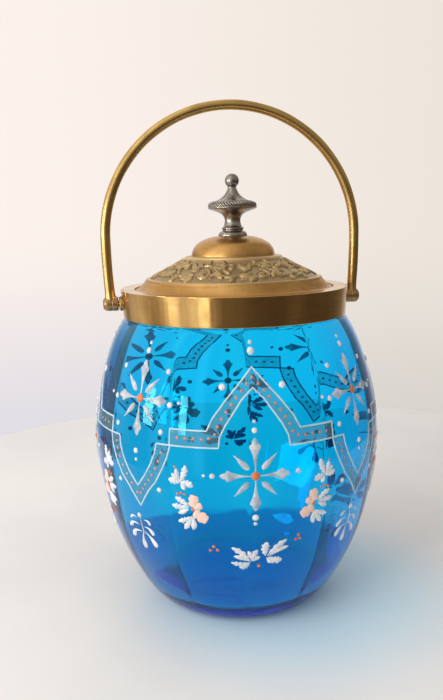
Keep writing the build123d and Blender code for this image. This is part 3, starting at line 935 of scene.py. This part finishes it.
def makeBail():
    # a half circle with legs on large tangent arcs; the round section is carried along it
    centre, archRadius = bail["archCentre"], bail["archRadius"]
    drop, draw = centre - bail["legFootZ"], archRadius - bail["legFootX"]
    legRadius = (drop**2 + draw**2) / (2 * draw)
    bend = np.linspace(math.asin(drop / legRadius), 0, bail["legRows"])[:-1]
    leg = np.stack([archRadius - legRadius * (1 - np.cos(bend)), centre - legRadius * np.sin(bend)], axis=1)
    arc = np.linspace(0, math.pi, bail["archRows"])
    arch = np.stack([archRadius * np.cos(arc), centre + archRadius * np.sin(arc)], axis=1)
    path = np.vstack([leg, arch, (leg * [-1, 1])[::-1]])
    step = unit(np.gradient(path, axis=0))
    out = np.stack([step[:, 1], -step[:, 0]], axis=1)
    along = distances(path)
    fromEnd = np.minimum(along, along[-1] - along)
    swelling = bail["flare"] * np.exp(-((fromEnd / bail["flareLength"]) ** 2))
    thinning = bail["waver"] * (1 + np.sin(along * bail["waverRate"]))
    radius = (bail["rod"] + swelling - thinning)[:, None]
    turn = fullTurn(bail["columns"])
    x, z = (path[:, side] + out[:, side] * radius * np.cos(turn) for side in (slice(0, 1), slice(1, 2)))
    rod = closedEnds(np.stack([x, radius * np.sin(turn), z], axis=-1))[::-1]
    buildPiece("bail_rod_brass", [(rod, False)], bailBrass, "bail", ["bail_rod"])
    ends = (("knuckle", "bail", "bail_brass", knuckleBrass, "bail_knuckle"),
            ("boss", "jar", "collar_brass", pinBrass, "pivot_boss"))
    for side, halfTurn in (("right", [1, 1, 1]), ("left", [-1, -1, 1])):
        for part, body, slot, finish, node in ends:
            line = denser(roundedLine(bail[part], closed=False), bail["endGap"], closed=False)
            points = ontoX(turned(line, bail["endColumns"]), bail["pivotZ"]) * halfTurn
            buildPiece(f"{side}_{part}_brass", [(points, False)], finish, body, [f"{side}_{node}"])


makeBail()
print("bail ready")


# Lid: one pressing with an embossed band

lid = {
    "rim": [(46.5, 148.7, 0.2), (46.5, 149.6, 0.35), (45.3, 149.85, 0.5), (44.5, 150.5, 9.0),
        (43.5, 151.5, 9.0), (42.5, 152.8, 9.0), (41.8, 153.5, 0.4), (41.55, 154.2, 9.0),
        (41.0, 154.75, 9.0), (40.3, 154.75, 9.0), (39.75, 154.45, 0.4)],
    "band": [(39.6, 154.6), (35.6, 156.9), (31.4, 159.0), (27.3, 161.1), (23.6, 163.3)],
    "crown": [(23.4, 163.4, 0.2), (23.1, 164.1, 9.0), (22.3, 164.5, 9.0), (21.2, 164.35, 9.0),
        (20.5, 164.0, 0.4), (19.75, 164.3, 0.4), (19.6, 165.6, 9.0), (19.0, 167.6, 9.0),
        (17.6, 169.7, 9.0), (15.3, 171.3, 9.0), (12.0, 172.75, 9.0), (8.5, 173.5, 9.0), (7.0, 173.6, 1.0),
        (2.2, 173.6, 0.0)],
    "under": [(2.2, 172.7), (7.3, 172.7), (11.3, 171.95), (14.8, 170.4), (17.4, 168.1), (18.6, 165.2),
        (19.6, 163.5), (22.0, 162.9), (23.4, 162.3), (31.2, 158.0), (39.3, 153.6), (40.3, 153.4),
        (41.0, 152.7), (42.9, 150.6), (44.6, 149.3), (45.2, 148.7)],
    "repeats": 8, "columnsPerRepeat": 52,
    "rimGap": 0.7, "bandRows": 64, "crownGap": 0.8, "underRows": 26,
    "reliefHeight": 0.85, "reliefSink": 0.35, "reliefFade": 0.8,
    "bandRadii": [(23.3, 24.3), (39.0, 39.8)],  # between these the band's finish shows
    "beadHighlights": [(40.45, 0.75), (23.0, 0.45)],  # radius and half width of the painted highlights along the edging beads
    "beadHighlightFoot": 153.9, "sheet": 0.6,
}
scroll = {  # foliage of one repeat: x as a share of the repeat, y and sizes in millimetres up the band
    "height": 17.6,
    "stem": [(0, 9.2), (0.12, 12.6), (0.25, 14.0), (0.38, 12.6), (0.5, 9.2), (0.62, 5.6), (0.75, 4.2),
             (0.88, 5.6), (1, 9.2)],
    "stemWidths": (0.75, 0.75),
    "curls": [(0.25, 6.2, 75), (0.75, 12.0, -105)],  # with the direction in which each starts
    "curlRadius": 4.2, "curlTurn": 4.6, "curlShrink": 0.78, "curlWidths": (0.9, 0.8, 0.7), "button": 1.7,
    "leaves": [  # x, y, direction, length, half width
        (0.02, 9.6, 118, 6.2, 1.7), (0.04, 9.4, 70, 6.0, 1.4), (0.5, 9.0, -62, 6.2, 1.7),
        (0.52, 9.2, -112, 6.0, 1.4), (0.38, 12.2, 34, 5.6, 1.5), (0.4, 11.8, 2, 5.2, 1.3),
        (0.88, 6.0, -34, 5.6, 1.5), (0.9, 6.2, 2, 5.0, 1.3), (0.1, 4.6, 200, 4.8, 1.4),
        (0.1, 4.6, 250, 4.2, 1.3), (0.6, 13.6, 160, 4.8, 1.4), (0.6, 13.6, 110, 4.0, 1.3),
        (0.25, 14.6, 90, 2.8, 1.2), (0.75, 3.6, -90, 2.8, 1.2)],
    "leafWidths": (0.35, 1, 0.9, 0.25), "leafSway": 0.3,
    "samples": 26, "curlPoints": 9, "leafPoints": 4,
}


def capsules(path, widths):
    # samples along a line with a half width at each, for the relief below
    path = splineThrough(path, scroll["samples"])
    share = np.linspace(0, 1, len(path))
    return np.column_stack([path, np.interp(share, np.linspace(0, 1, len(widths)), widths)])


def scrollRelief(across, up, period):
    # height of the foliage ornament: the highest rounded ridge among its strokes, each
    # 1 - (distance / half width)^2, repeated round the band
    strokes = [capsules(np.array(scroll["stem"]) * [period, 1], scroll["stemWidths"])]
    turn = np.linspace(0, 1, scroll["curlPoints"])
    for x, y, start in scroll["curls"]:
        angle = math.radians(start) - turn * scroll["curlTurn"]
        radius = scroll["curlRadius"] * (1 - scroll["curlShrink"] * turn)
        curl = np.column_stack([x * period + radius * np.cos(angle), y + radius * np.sin(angle)])
        strokes += [capsules(curl, scroll["curlWidths"]), np.array([(x * period, y, scroll["button"])])]
    for x, y, direction, size, width in scroll["leaves"]:
        a = math.radians(direction)
        reach = np.linspace(0, 1, scroll["leafPoints"]) * size
        sway = scroll["leafSway"] * np.sin(reach)
        leaf = np.column_stack([x * period + reach * math.cos(a) + sway, y + reach * math.sin(a)])
        strokes.append(capsules(leaf, width * np.array(scroll["leafWidths"])))
    spots = np.vstack(strokes)
    gapX = (across[..., None] - spots[:, 0] + period / 2) % period - period / 2
    gapY = up[..., None] - spots[:, 1]
    ridge = 1 - (gapX**2 + gapY**2) / spots[:, 2] ** 2
    return np.sqrt(np.clip(ridge, 0, 1)).max(axis=-1)


def makeLid():
    # closed profile turned about Z; in the embossed band the sheet rises along its normal
    rim = denser(roundedLine(lid["rim"], closed=False), lid["rimGap"], closed=False)
    band = splineThrough(lid["band"], lid["bandRows"])
    crown = denser(roundedLine(lid["crown"], closed=False), lid["crownGap"], closed=False)
    under = splineThrough(lid["under"], lid["underRows"])
    columns = lid["repeats"] * lid["columnsPerRepeat"]
    points = turned(np.vstack([rim, band, crown, under]), columns)
    slant = distances(band)
    period = 2 * math.pi * band[:, 0].mean() / lid["repeats"]
    across = np.linspace(0, period, lid["columnsPerRepeat"], endpoint=False)
    up = slant * scroll["height"] / slant[-1]
    spots = np.broadcast_arrays(across[None, :], up[:, None])
    relief = np.tile(scrollRelief(*spots, period), (1, lid["repeats"]))
    step = unit(np.gradient(band, axis=0))
    u = fullTurn(columns)
    normal = np.stack([step[:, 1:] * np.cos(u), step[:, 1:] * np.sin(u), -step[:, :1] + 0 * u], axis=-1)
    edge = window(slant, (0, lid["reliefFade"]), (slant[-1] - lid["reliefFade"], slant[-1]))[:, None]
    rows = slice(len(rim), len(rim) + len(band))
    points[rows] += normal * (relief * edge * lid["reliefHeight"] - lid["reliefSink"] * edge)[..., None]
    piece = buildPiece(
        "lid_pressing_brass", [(points, True)], lidBrass, "lid", ["lid_shell"], sharp=50)
    # relief and band masks and the painted bead highlights for the finish, read back from each point's place
    place = np.zeros(len(piece.data.vertices) * 3)
    piece.data.vertices.foreach_get("co", place)
    x, y, z = place.reshape(-1, 3).T / mm
    radius, around = np.hypot(x, y), np.arctan2(y, x) % (2 * math.pi)
    row = np.interp(-radius, -band[:, 0], np.arange(len(band)))
    column = np.round(around / (2 * math.pi) * columns).astype(int) % columns
    topSide = z > np.interp(-radius, -band[:, 0], band[:, 1]) - lid["sheet"]
    inBand = window(radius, *lid["bandRadii"]) * topSide
    # painted highlight along each edging bead, on the top side only
    beadHighlight = sum(np.exp(-(((radius - middle) / half) ** 2)) for middle, half in lid["beadHighlights"])
    masks = {"relief": relief[np.round(row).astype(int), column] * inBand, "band": inBand,
             "beadHighlight": beadHighlight * (z > lid["beadHighlightFoot"])}
    for name, values in masks.items():
        piece.data.attributes.new(name, "FLOAT", "POINT").data.foreach_set("value", values.astype(np.float32))


makeLid()
print("lid ready")


# Finial

finial = {
    "profile": [(0.0, 173.6, 0.0), (6.8, 173.6, 0.2), (6.75, 174.4, 0.6), (6.2, 175.3, 0.7),
        (5.5, 175.75, 0.3), (4.85, 176.0, 0.3), (4.75, 176.5, 0.3), (5.15, 176.75, 0.3),
        (5.2, 177.3, 0.3), (4.6, 177.7, 0.4), (4.0, 178.7, 9.0), (3.6, 180.3, 9.0), (3.8, 182.0, 9.0),
        (4.7, 183.4, 9.0), (6.4, 184.5, 9.0), (9.2, 185.4, 9.0), (11.0, 186.1, 0.4), (11.6, 186.5, 0.2),
        (11.5, 186.9, 0.15), (11.1, 187.0, 0.15), (11.45, 187.5, 9.0), (11.3, 188.3, 9.0),
        (10.7, 189.0, 9.0), (9.9, 189.35, 0.3), (9.6, 189.2, 0.15), (9.2, 189.75, 0.3), (8.5, 189.6, 0.4),
        (6.6, 190.3, 9.0), (4.7, 191.5, 9.0), (3.3, 192.9, 9.0), (2.4, 194.6, 9.0), (1.85, 195.9, 0.5),
        (2.2, 196.25, 0.3)],
    "gap": 0.35, "columns": 276,
    "ballRadius": 3.3, "ballHeight": 198.9, "collarRadius": 2.2, "ballRows": 34,
    "beads": 44, "beadDepth": 0.55, "beadSlant": 0.1, "beadRoundness": 0.8,
    "beadMiddle": 188.3, "beadHeights": [(187.0, 187.4), (188.95, 189.35)], "beadRadius": 9.85,
}


def makeFinial():
    # profile turned about Z with the ball on top; slanting beads are a sine wave round the rim band
    stem = denser(roundedLine(finial["profile"], closed=False), finial["gap"], closed=False)
    ballRadius = finial["ballRadius"]
    arc = np.linspace(math.asin(finial["collarRadius"] / ballRadius), math.pi, finial["ballRows"])
    ball = np.stack([ballRadius * np.sin(arc), finial["ballHeight"] - ballRadius * np.cos(arc)], axis=1)
    ball[-1, 0] = 0
    line = np.vstack([stem[:-1], ball])
    z = line[:, 1:]
    onBand = window(z, *finial["beadHeights"]) * (line[:, :1] > finial["beadRadius"])
    wave = fullTurn(finial["columns"]) / 2 + finial["beadSlant"] * (z - finial["beadMiddle"]) / 2
    beads = -finial["beadDepth"] * (1 - np.abs(np.cos(finial["beads"] * wave)) ** finial["beadRoundness"])
    points = turned(line, finial["columns"], beads * onBand)
    buildPiece("finial_white_metal", [(points, False)], whiteMetal, "lid", ["finial_body"])


makeFinial()
print("finial ready")


# Parts kept from the solid model get their finishes

keptFinishes = {
    "plaster_bedding": plaster, "left_pivot_pin": pinBrass, "right_pivot_pin": pinBrass,
    "lid_locating_ring": lidBrass, "finial_stud": steel, "finial_washer": pinBrass, "finial_nut": steel,
}
for node, finish in keptFinishes.items():
    cadNodes[node].data.materials.clear()
    cadNodes[node].data.materials.append(finish)


# Floor, backdrop, light and camera

studio = {
    "tableRadius": 311.0, "tableCentre": (33.0, 51.0), "tableThickness": 18.0,
    "tableRise": 0.04,  # so little above the foot that the jar stands on it without a gap
    "tableEdges": (3, 4), "tableGap": 12, "tableColumns": 180,  # rounding below and above, mesh steps
    "tablePale": (0.82, 0.81, 0.8), "tableGrey": (0.76, 0.755, 0.76), "tableGloss": (0.42, 0.55),
    "tablePatches": 9.0, "tablePatchRange": (0.3, 0.7), "tableSmears": 12.0, "tableGrain": 500.0,
    # painted pool of blue light from the glass on the table: colour, share, middle and reach in metres
    "paintedBlueLight": (0.55, 0.8, 0.95), "glowShare": 0.8,
    "glowMiddle": (0.026, -0.012, 0.0), "glowReach": (0.035, 0.1),
    # what the table shows through the glass, by metres from the axis: a painted shadow of the jar under its
    # foot, pale further out
    "tableThroughGlass": (0.8, 0.82, 0.84), "paintedJarShadow": (0.14, 0.27, 0.5), "underJar": (0.084, 0.09),
    "paintedHeelShadow": (0.06, 0.34, 0.44), "underHeel": (0.02, 0.036), "pastHeel": (0.044, 0.05),
    "clearShare": 0.85,
    # backdrop behind the jar, by corner of the view
    "backTopLeft": (0.98, 0.885, 0.84), "backTopRight": (0.85, 0.785, 0.71),
    "backLowLeft": (0.75, 0.73, 0.78), "backLowRight": (0.68, 0.645, 0.6),
    # how far across (slope) and down (degrees) it blends
    "backAcross": (-0.35, 0.35), "backDown": (0.0, -17.0),
    # room on the viewer's side, which polished faces mirror
    "room": [  # degrees from the viewer towards the right, brightness
        (-180, 0.86), (-150, 0.4), (-137, 0.25), (-125, 0.6), (-108, 0.78), (-97, 0.6), (-88, 0.4),
        (-78, 0.52), (-74, 0.6), (-67, 1.8), (-61, 2.3), (-56, 1.0), (-49, 0.75), (-42, 1.2), (-35, 1.2),
        (-31, 2.4), (-27, 2.4), (-23, 0.5), (-17, 0.28), (-10, 0.2), (2, 0.18), (20, 0.12), (45, 0.08),
        (64, 0.15), (75, 0.1), (110, 0.1), (122, 0.13), (135, 0.2), (150, 0.4), (180, 0.86)],
    "roomWarmth": [(1.0, 0.76, 0.58), (1.0, 0.96, 0.91)],  # tint where it is dark and where it is bright
    "ceilingLeft": (0.98, 0.9, 0.76), "ceilingRight": (0.4, 0.355, 0.3), "ceilingShare": (-0.55, 0.55),
    # elevations over which the room is dimmed and how much, and over which the ceiling comes in;
    # azimuths between which the room gives way to the backdrop
    "roomDim": (-40.0, -8.0, 0.6, 0.0), "ceilingRise": (-8.0, 22.0), "roomEnds": (140.0, 165.0),
    "roomThroughGlass": (0.42, 0.42, 0.52), "backThroughGlass": (0.95, 0.965, 1.0), "throughShare": 0.7,
    "skyLight": 0.71, "skyTint": (1.0, 0.965, 0.93),  # what the surroundings give as soft light
    # azimuth and elevation from the viewer's side in degrees; distance, width and height in metres; watts
    "lampsFaceHeight": 0.1,
    "lamps": {
        "windowLamp": {"azimuth": -44.0, "elevation": 28.0, "distance": 1.1, "width": 0.5, "height": 0.8,
         "power": 5.3, "colour": (1.0, 0.98, 0.95), "mirrored": False},
        "sideLamp": {"azimuth": -84.0, "elevation": 24.0, "distance": 1.2, "width": 0.7, "height": 0.8,
         "power": 3.9, "colour": (1.0, 0.95, 0.88), "mirrored": False},
        "nearPane": {"azimuth": -40.0, "elevation": 7.0, "distance": 1.1, "width": 0.11, "height": 0.3,
         "power": 1.9, "colour": (1.0, 0.98, 0.95), "mirrored": True},
        "farPane": {"azimuth": -72.0, "elevation": 6.0, "distance": 1.1, "width": 0.16, "height": 0.26,
         "power": 1.9, "colour": (1.0, 0.98, 0.95), "mirrored": True},
    },
}
viewpoint = {
    "azimuth": -9.58, "distance": 0.34077, "height": 0.17935, "pitch": 10.03, "yaw": -1.09, "roll": 1.22,
    "lens": 36.735, "sensor": 36.0, "nearest": 0.01,
}


def makeTable():
    # pale round table top with a softened edge, just under the foot, with a painted pool of blue light
    #     beside the foot; through the glass it shows without the jar's real shadow, and with a painted one
    #     instead
    material, tree, place = newMaterial("tableTop")
    patches = spread(tree, noise(tree, place, studio["tablePatches"]), *studio["tablePatchRange"])
    colour = blendColours(tree, patches, studio["tablePale"], studio["tableGrey"])
    # painted pool of blue light that came through the glass, beside the foot
    away = vectorMeasure(tree, "DISTANCE", place, studio["glowMiddle"])
    glow = spread(tree, away, *studio["glowReach"], studio["glowShare"], 0.0)
    colour = blendColours(tree, glow, colour, studio["paintedBlueLight"])
    bump = {"Height": noise(tree, place, studio["tableGrain"]), "Strength": 0.1, "Distance": 0.0001}
    surface = put(tree, "ShaderNodeBsdfPrincipled", {
        "Base Color": colour, "Roughness": handled(tree, place, studio["tableSmears"], studio["tableGloss"]),
        "Normal": put(tree, "ShaderNodeBump", bump).outputs[0],
    }).outputs[0]
    # through the glass: painted shadow under the heel and under the jar, pale beyond it
    fromAxis = vectorMeasure(tree, "LENGTH", place)
    beneath = studio["paintedJarShadow"]
    rings = {"underHeel": "paintedHeelShadow", "pastHeel": "paintedJarShadow", "underJar": "tableThroughGlass"}
    for reach, beyond in rings.items():
        beneath = blendColours(tree, spread(tree, fromAxis, *studio[reach]), beneath, studio[beyond])
    clear = put(tree, "ShaderNodeEmission", {"Color": beneath, "Strength": 1.0}).outputs[0]
    through = put(tree, "ShaderNodeLightPath").outputs["Is Transmission Ray"]
    share = multiply(tree, through, studio["clearShare"])
    mixed = put(tree, "ShaderNodeMixShader", {0: share, 1: surface, 2: clear}).outputs[0]
    put(tree, "ShaderNodeOutputMaterial", {"Surface": mixed})
    radius, low, high = studio["tableRadius"], -studio["tableThickness"], studio["tableRise"]
    under, over = studio["tableEdges"]
    line = roundedLine([(0, low, 0), (radius, low, under), (radius, high, over), (0, high, 0)], closed=False)
    line = denser(line, studio["tableGap"], closed=False)
    points = turned(line, studio["tableColumns"]) + np.array([*studio["tableCentre"], 0])
    buildPiece("table_top", [(points, False)], material, None)


def makeWorld():
    # pale backdrop behind the jar, a dim room with a window to the left on the viewer's side;
    # azimuth = atan2(towards the right, towards the viewer), elevation = asin(z), both in degrees
    world = bpy.data.worlds.new("studioWorld")
    scene.world = world
    world.use_nodes = True
    tree = world.node_tree
    tree.nodes.clear()
    ray = put(tree, "ShaderNodeTexCoord").outputs["Generated"]
    turn = math.radians(viewpoint["azimuth"])
    right = vectorMeasure(tree, "DOT_PRODUCT", ray, (math.cos(turn), math.sin(turn), 0.0))
    near = vectorMeasure(tree, "DOT_PRODUCT", ray, (math.sin(turn), -math.cos(turn), 0.0))
    height = put(tree, "ShaderNodeSeparateXYZ", {"Vector": ray}).outputs[2]
    azimuth = multiply(tree, calculate(tree, "ARCTAN2", right, near), 180 / math.pi)
    elevation = multiply(tree, calculate(tree, "ARCSINE", height), 180 / math.pi)
    # backdrop, blended across and down
    slope = calculate(tree, "DIVIDE", right, calculate(tree, "ABSOLUTE", near))
    across = spread(tree, slope, *studio["backAcross"])
    top = blendColours(tree, across, studio["backTopLeft"], studio["backTopRight"])
    low = blendColours(tree, across, studio["backLowLeft"], studio["backLowRight"])
    backdrop = blendColours(tree, spread(tree, elevation, *studio["backDown"]), top, low)
    # room on the viewer's side by azimuth, dimmer low down, ceiling above
    ramp = put(tree, "ShaderNodeValToRGB", {0: spread(tree, azimuth, -180.0, 180.0, kind="LINEAR")})
    stops = ramp.color_ramp.elements
    stops.remove(stops[1])
    warm, white = np.array(studio["roomWarmth"])
    for index, (degrees, bright) in enumerate(studio["room"]):
        position = (degrees + 180) / 360
        stop = stops[0] if index == 0 else stops.new(position)
        tint = warm + (white - warm) * min(1, bright)
        stop.position, stop.color = position, (*(tint * bright), 1)
    dim = calculate(tree, "SUBTRACT", 1.0, spread(tree, elevation, *studio["roomDim"]))
    dimmed = put(tree, "ShaderNodeCombineColor", {0: dim, 1: dim, 2: dim}).outputs[0]
    room = blendColours(tree, 1.0, ramp.outputs[0], dimmed, "MULTIPLY")
    leftToRight = spread(tree, right, *studio["ceilingShare"])
    ceiling = blendColours(tree, leftToRight, studio["ceilingLeft"], studio["ceilingRight"])
    risen = blendColours(tree, spread(tree, elevation, *studio["ceilingRise"]), (0.0, 0.0, 0.0), ceiling)
    room = blendColours(tree, 1.0, room, risen, "LIGHTEN")
    # what each kind of ray meets: the camera finds the pale backdrop all round
    isCamera, isGlossy, through = (
        put(tree, "ShaderNodeLightPath").outputs[f"Is {kind} Ray"]
        for kind in ("Camera", "Glossy", "Transmission"))
    throughGlass = multiply(tree, through, studio["throughShare"])
    room = blendColours(tree, throughGlass, room, studio["roomThroughGlass"])
    farSide = blendColours(tree, through, backdrop, studio["backThroughGlass"])
    behind = spread(tree, calculate(tree, "ABSOLUTE", azimuth), *studio["roomEnds"])
    mirrored = blendColours(tree, behind, room, farSide)
    seenColour = blendColours(tree, isCamera, mirrored, backdrop)
    seen = add(tree, add(tree, isCamera, isGlossy), through, True)
    soft = tuple(channel * studio["skyLight"] for channel in studio["skyTint"])
    shown = {"Color": blendColours(tree, seen, soft, seenColour), "Strength": 1.0}
    background = put(tree, "ShaderNodeBackground", shown)
    put(tree, "ShaderNodeOutputWorld", {"Surface": background.outputs[0]})


def makeLamps():
    # area lamps that face the jar's middle; only the window panes show in reflections
    middle = Vector((0, 0, studio["lampsFaceHeight"]))
    for name, lamp in studio["lamps"].items():
        light = bpy.data.lights.new(name, "AREA")
        light.shape = "RECTANGLE"
        light.size, light.size_y = lamp["width"], lamp["height"]
        light.energy, light.color = lamp["power"], lamp["colour"]
        holder = bpy.data.objects.new(name, light)
        azimuth = math.radians(viewpoint["azimuth"] + lamp["azimuth"])
        elevation = math.radians(lamp["elevation"])
        level = math.cos(elevation)
        away = Vector((math.sin(azimuth) * level, -math.cos(azimuth) * level, math.sin(elevation)))
        holder.location = middle + away * lamp["distance"]
        holder.rotation_euler = away.to_track_quat("Z", "Y").to_euler()
        holder.visible_camera = False
        holder.visible_glossy = lamp["mirrored"]
        holder.visible_transmission = lamp["mirrored"]
        scene.collection.objects.link(holder)


def makeCamera():
    # stands at its azimuth, distance and height, looks level at the axis, then yaws, pitches down
    # and rolls
    pitch, yaw, roll, azimuth = (math.radians(viewpoint[key]) for key in ("pitch", "yaw", "roll", "azimuth"))
    level = Vector((math.sin(yaw), math.cos(yaw), 0))
    right = Vector((math.cos(yaw), -math.sin(yaw), 0))
    forward = math.cos(pitch) * level - math.sin(pitch) * Vector((0, 0, 1))
    up = math.sin(pitch) * level + math.cos(pitch) * Vector((0, 0, 1))
    rolledRight = math.cos(roll) * right - math.sin(roll) * up
    rolledUp = math.sin(roll) * right + math.cos(roll) * up
    around = Matrix.Rotation(azimuth, 4, "Z")
    turnTo = Matrix((rolledRight, rolledUp, -forward)).transposed().to_4x4()
    data = bpy.data.cameras.new("camera")
    data.lens, data.sensor_width = viewpoint["lens"], viewpoint["sensor"]
    data.clip_start = viewpoint["nearest"]
    camera = bpy.data.objects.new("camera", data)
    standing = Matrix.Translation((0, -viewpoint["distance"], viewpoint["height"]))
    camera.matrix_world = around @ standing @ turnTo
    scene.collection.objects.link(camera)
    scene.camera = camera


makeTable()
makeWorld()
makeLamps()
makeCamera()
scene.view_settings.view_transform = "Standard"
print("studio ready")
